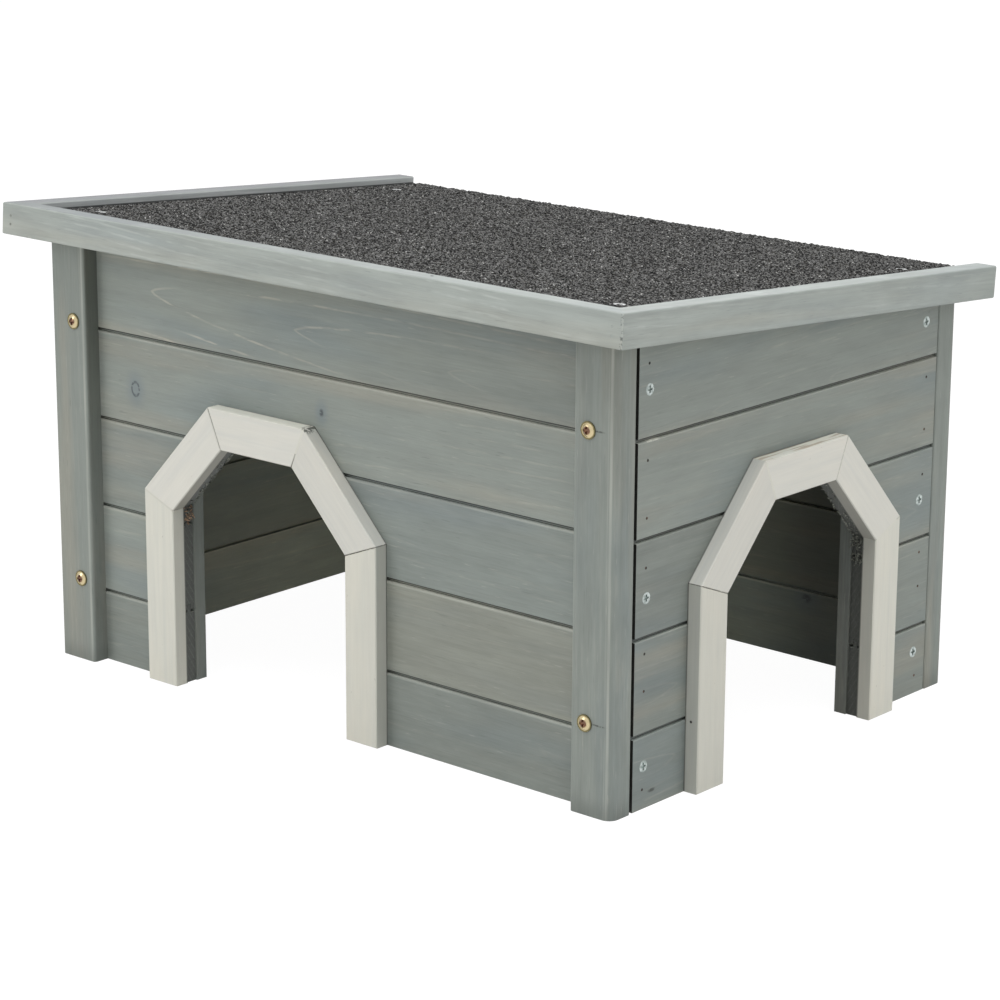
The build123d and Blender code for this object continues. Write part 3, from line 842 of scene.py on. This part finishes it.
# The felt in the groove is painted nearly black: partly bare bitumen, partly painted shade.
groove_bitumen_and_shade = (recipe.along - felt_low.x).step(groove_width + 0.0008, groove_width - 0.0002)
recipe.lay(groove_bitumen_and_shade * 0.8, screen(14, 14, 13))
mineral_felt = recipe.finish(cell_hue * 0.3 + 0.6, shine=0.2)
felt_sheet = new_piece("felt_sheet", vertices, faces, "roof_felt", mineral_felt)
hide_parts("roof_felt")
felt_uv = felt_sheet.data.uv_layers.new(name="OFBake")
for loop in felt_sheet.data.loops:
    felt_uv.data[loop.index].uv = felt_map[loop.vertex_index]

# Roof trim.
# Planed strips nailed round the front and the sides of the roof, standing a little above the felt and
# mitred at the front corners. Their glaze is thinner than the walls', so the figure is plainer, and it is
# coloured paler, partly as painted light.
pale_and_lit_trim_glaze = (screen(159, 165, 160), screen(150, 158, 157), screen(171, 173, 164))
trim_flame = screen(192, 197, 192)
# Painted light and shade: tints for the trims' tops and for the left strip's inner face
shaded_top = (0.74, 0.73, 0.78, 1.0)
left_top = (0.71, 0.68, 0.75, 1.0)
lit_top = (1.12, 1.11, 1.15, 1.0)
lit_left_face = (1.07, 1.04, 1.11, 1.0)
groove_shade = (0.14, 0.14, 0.14, 1.0)
# How each strip's grain is turned, and the painted light and shade on its top at both ends
trims = {
    "roof_trim_front": (grain_turns["x"], shaded_top, lit_top),
    "roof_trim_left": ((pitch, 0, -math.pi / 2), left_top, left_top),
    "roof_trim_right": ((pitch, 0, -math.pi / 2), lit_top, lit_top),
}
for number, (node_name, (turn, low_top, high_top)) in enumerate(trims.items()):
    low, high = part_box(node_name)
    rings = Rings(low.z + 0.05, -0.06, 0.02, 0.02, 0.0038, 0.8)
    wood = GlazedWood(
        f"pale_glaze_{node_name}", turn, 150 + number, pale_and_lit_trim_glaze, 0.94, rings, 0.35, figure=0.8, bands=1.5,
        flame_tone=trim_flame)

    # The front strip's right corner has been knocked: it has dark breaks with a pale edge.
    if node_name == "roof_trim_front":
        off_corner = abs(wood.along - high.x)
        broken = off_corner.step(0.0022, 0.0006) * wood.ragged.step(0.5, 0.58)
        wood.lay(broken * 0.8, screen(84, 90, 86))
        rubbed = off_corner.step(0.0012, 0.0003) * wood.ragged.step(0.46, 0.38)
        wood.lay(rubbed * 0.15, screen(204, 206, 198))

    # The left strip's inner face is tinted lighter and bluer, partly as painted light, and painted dark as
    # shade where it goes down into the felt's groove.
    if node_name == "roof_trim_left":
        turned_in = wood.facing_deep.step(-0.6, -0.95)
        wood.tint(turned_in, lit_left_face)
        felt_height = front_edge.dot(roof_normal)
        wood.tint(wood.up.step(felt_height + 0.0005, felt_height) * turned_in, groove_shade)
    # The tops are painted lighter where light falls on them and darker on the left strip, as light and
    # shade.
    top_light_and_shade = wood.mix(wood.along.step(-0.2, 0.2), low_top, high_top)
    wood.tint(wood.facing_up.step(0.8, 0.96), top_light_and_shade)
    wear(node_name, wood.finished())

# Screws and brads.
# Yellow-passivated screws hold the corners, zinc ones the boards and the roof. The brads in the walls
# have rusted, and those in the trim lie under the glaze.


def plated(name, colours, roughness, axes, places, radius):
    """Plated steel: one colour in the recess, painted dark as shade, one on the dome and one on the rim of
    each head.
    """
    recipe = Recipe(name)
    first, second = ((recipe.along, recipe.deep, recipe.up)[axis] for axis in axes)
    centre = None
    for first_place, second_place in places:
        reach = (first - first_place).length(second - second_place)
        centre = reach if centre is None else centre.least(reach)
    cloud = recipe.fibre(0.002, 0.002, 3.0)
    share = centre / radius + (cloud - 0.5) * 0.2
    recipe.colour = colours[0]
    recipe.lay(share.step(0.36, 0.56), colours[1])
    recipe.lay(share.step(0.74, 0.9), colours[2])
    recipe.surface.inputs["Metallic"].default_value = 1.0
    return recipe.finish(cloud * 0.3 + roughness)


corner_low, corner_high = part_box("corner_screws")
corner_radius = 0.0043
corner_spots = [
    (side * (corner_high.x - corner_radius), z)
    for side in (-1, 1)
    for z in (corner_low.z + corner_radius, corner_high.z - corner_radius)
]
# The gold heads' dark olive rim is a painted reflection of dark surroundings, and their recess painted
# shade.
gold_with_reflection = (screen(118, 90, 74), screen(204, 188, 150), screen(116, 108, 76))
wear("corner_screws", plated("yellow_zinc", gold_with_reflection, 0.06, (0, 2), corner_spots, corner_radius))
# The zinc heads' darker recess is painted shade.
silver = (screen(128, 130, 130), screen(226, 228, 228), screen(206, 208, 208))
wear("roof_screws", plated("roof_zinc", silver, 0.3, (0, 1), screw_spots, screw_radius))

recipe = Recipe("board_zinc")
cloud = recipe.fibre(0.0015, 0.0015, 3.0)
recipe.colour = screen(150, 160, 156)
recipe.lay(cloud.step(0.35, 0.65), screen(196, 204, 202))
recipe.surface.inputs["Metallic"].default_value = 1.0
wear("board_screws", recipe.finish(cloud * 0.3 + 0.3))


def rusty_steel(recipe, covered=None):
    """Dark steel with brown rust, under glaze where it is covered."""
    cloud = recipe.fibre(0.004, 0.004)
    recipe.colour = screen(38, 37, 35)
    recipe.lay(cloud.step(0.45, 0.65), screen(96, 70, 56))
    if covered:
        recipe.lay(covered, screen(130, 136, 131))
    return recipe.finish(cloud * 0.2 + 0.6)


rusty = rusty_steel(Recipe("rusty_brad"))
wear("panel_brads", rusty)
recipe = Recipe("side_brad")
top_back = recipe.deep.step(0.1, 0.11) * recipe.up.step(0.19, 0.2)
wear("side_brads", rusty_steel(recipe, top_back))

recipe = Recipe("glazed_brad")
cloud = recipe.fibre(0.002, 0.002)
recipe.colour = screen(112, 114, 106)
recipe.lay(cloud.step(0.4, 0.6), screen(140, 144, 138))
recipe.lay(recipe.along.step(0.15, 0.17), screen(156, 162, 157))
wear("trim_brads", recipe.finish(cloud * 0.2 + 0.5))

nail_sides = 12
nail_rings = ((1.0, -0.0003), (1.0, 0.00005), (0.7, 0.0002))


def add_nail(vertices, faces, place, outward, radius):
    """A nail head, a low dome that lies on a face."""
    first = len(vertices)
    sideways = outward.orthogonal().normalized()
    across = outward.cross(sideways)
    for share, height in nail_rings:
        for turn in range(nail_sides):
            angle = 2 * math.pi * turn / nail_sides
            right = math.cos(angle) * radius * share
            over = math.sin(angle) * radius * share
            vertices.append(place + sideways * right + across * over + outward * height)
    for ring in range(len(nail_rings) - 1):
        start = first + nail_sides * ring
        for turn in range(nail_sides):
            corner = start + turn
            following = start + (turn + 1) % nail_sides
            faces.append((corner, following, following + nail_sides, corner + nail_sides))
    last = first + nail_sides * (len(nail_rings) - 1)
    faces.append(tuple(range(last, last + nail_sides)))
    faces.append(tuple(range(first + nail_sides - 1, first - 1, -1)))


# Two nails that the maker left showing: one on the front trim, one in the edge of the side doorway's jamb
trim_nail_x = 0.0885
trim_nail_y = -0.145
trim_nail_radius = 0.0011
jamb_nail_x = 0.1961
jamb_nail_z = 0.0363
jamb_nail_radius = 0.0007
vertices = []
faces = []
trim_low, trim_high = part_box("roof_trim_front")
trim_nail_z = trim_high.z - (trim_nail_y - trim_low.y) * math.tan(pitch)
add_nail(vertices, faces, Vector((trim_nail_x, trim_nail_y, trim_nail_z)), roof_normal, trim_nail_radius)
jamb_low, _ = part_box("side_door_front_jamb")
jamb_nail = Vector((jamb_nail_x, jamb_low.y, jamb_nail_z))
add_nail(vertices, faces, jamb_nail, Vector((0, -1, 0)), jamb_nail_radius)
new_piece("stray_nails", vertices, faces, "zinc", rusty)

# Studio.
# A white floor that keeps the house's shadow, soft lamps above and at both sides, and the camera where
# the photograph was taken from.
floor_half = 4.0
floor_drop = 0.0002
floor_mesh = bpy.data.meshes.new("floor")
floor_corners = [(x * floor_half, y * floor_half, 0) for x, y in ((-1, -1), (1, -1), (1, 1), (-1, 1))]
floor_mesh.from_pydata(floor_corners, [], [(0, 1, 2, 3)])
floor = bpy.data.objects.new("floor", floor_mesh)
floor.location.z = -floor_drop
bpy.context.scene.collection.objects.link(floor)
recipe = Recipe("white_floor")
rays = recipe.node("ShaderNodeLightPath")
seen = Value(recipe, rays["Is Camera Ray"]).most(Value(recipe, rays["Is Glossy Ray"]))
seen = seen.most(Value(recipe, rays["Is Transmission Ray"]))
plain_floor = recipe.node("ShaderNodeBsdfDiffuse", {"Color": (0.8, 0.8, 0.8, 1.0)})[0]
seen_floor = recipe.node("ShaderNodeBsdfDiffuse", {"Color": (0.12, 0.12, 0.12, 1.0)})[0]
glow = recipe.node("ShaderNodeEmission", {"Color": (1.0, 1.0, 1.0, 1.0), "Strength": 0.97})[0]
bright_floor = recipe.node("ShaderNodeAddShader", {0: seen_floor, 1: glow})[0]
either = recipe.node("ShaderNodeMixShader", {0: seen, 1: plain_floor, 2: bright_floor})[0]
recipe.feed(recipe.material.node_tree.nodes["Material Output"].inputs["Surface"], either)
floor_mesh.materials.append(recipe.material)

room_light = 0.46
white = 1.0
world = bpy.data.worlds.new("studio")
bpy.context.scene.world = world
world.use_nodes = True
background = world.node_tree.nodes["Background"]
background.inputs["Color"].default_value = (1.0, 1.0, 1.0, 1.0)
rays = world.node_tree.nodes.new("ShaderNodeLightPath")
strength = world.node_tree.nodes.new("ShaderNodeMapRange")
strength.inputs["To Min"].default_value = room_light
strength.inputs["To Max"].default_value = white
world.node_tree.links.new(strength.outputs[0], background.inputs["Strength"])
seen = rays.outputs["Is Camera Ray"]
for ray in ("Is Glossy Ray", "Is Transmission Ray"):
    either = world.node_tree.nodes.new("ShaderNodeMath")
    either.operation = "MAXIMUM"
    world.node_tree.links.new(seen, either.inputs[0])
    world.node_tree.links.new(rays.outputs[ray], either.inputs[1])
    seen = either.outputs[0]
world.node_tree.links.new(seen, strength.inputs["Value"])

# Each lamp's place, size and power
lamps = {
    "lamp_above": ((0.3, -0.4, 2.0), 1.6, 33.0),
    "lamp_front": ((-1.2, -1.9, 1.1), 1.2, 12.5),
    "lamp_side": ((2.0, 0.6, 1.0), 1.2, 7.6),
}
aim = (cad_low + cad_high) / 2
for lamp_name, (lamp_place, lamp_size, lamp_power) in lamps.items():
    lamp_data = bpy.data.lights.new(lamp_name, "AREA")
    lamp_data.size = lamp_size
    lamp_data.energy = lamp_power
    lamp = bpy.data.objects.new(lamp_name, lamp_data)
    lamp.location = lamp_place
    lamp.rotation_euler = (aim - lamp.location).to_track_quat("-Z", "Y").to_euler()
    bpy.context.scene.collection.objects.link(lamp)

camera_data = bpy.data.cameras.new("camera")
camera_data.sensor_width = 36.0
camera_data.lens = 113.75
camera = bpy.data.objects.new("camera", camera_data)
camera.location = (1.0678, -1.2231, 0.5401)
camera.rotation_euler = (math.radians(74.662), math.radians(-0.2985), math.radians(41.058))
bpy.context.scene.collection.objects.link(camera)
bpy.context.scene.camera = camera
bpy.context.scene.view_settings.view_transform = "Standard"
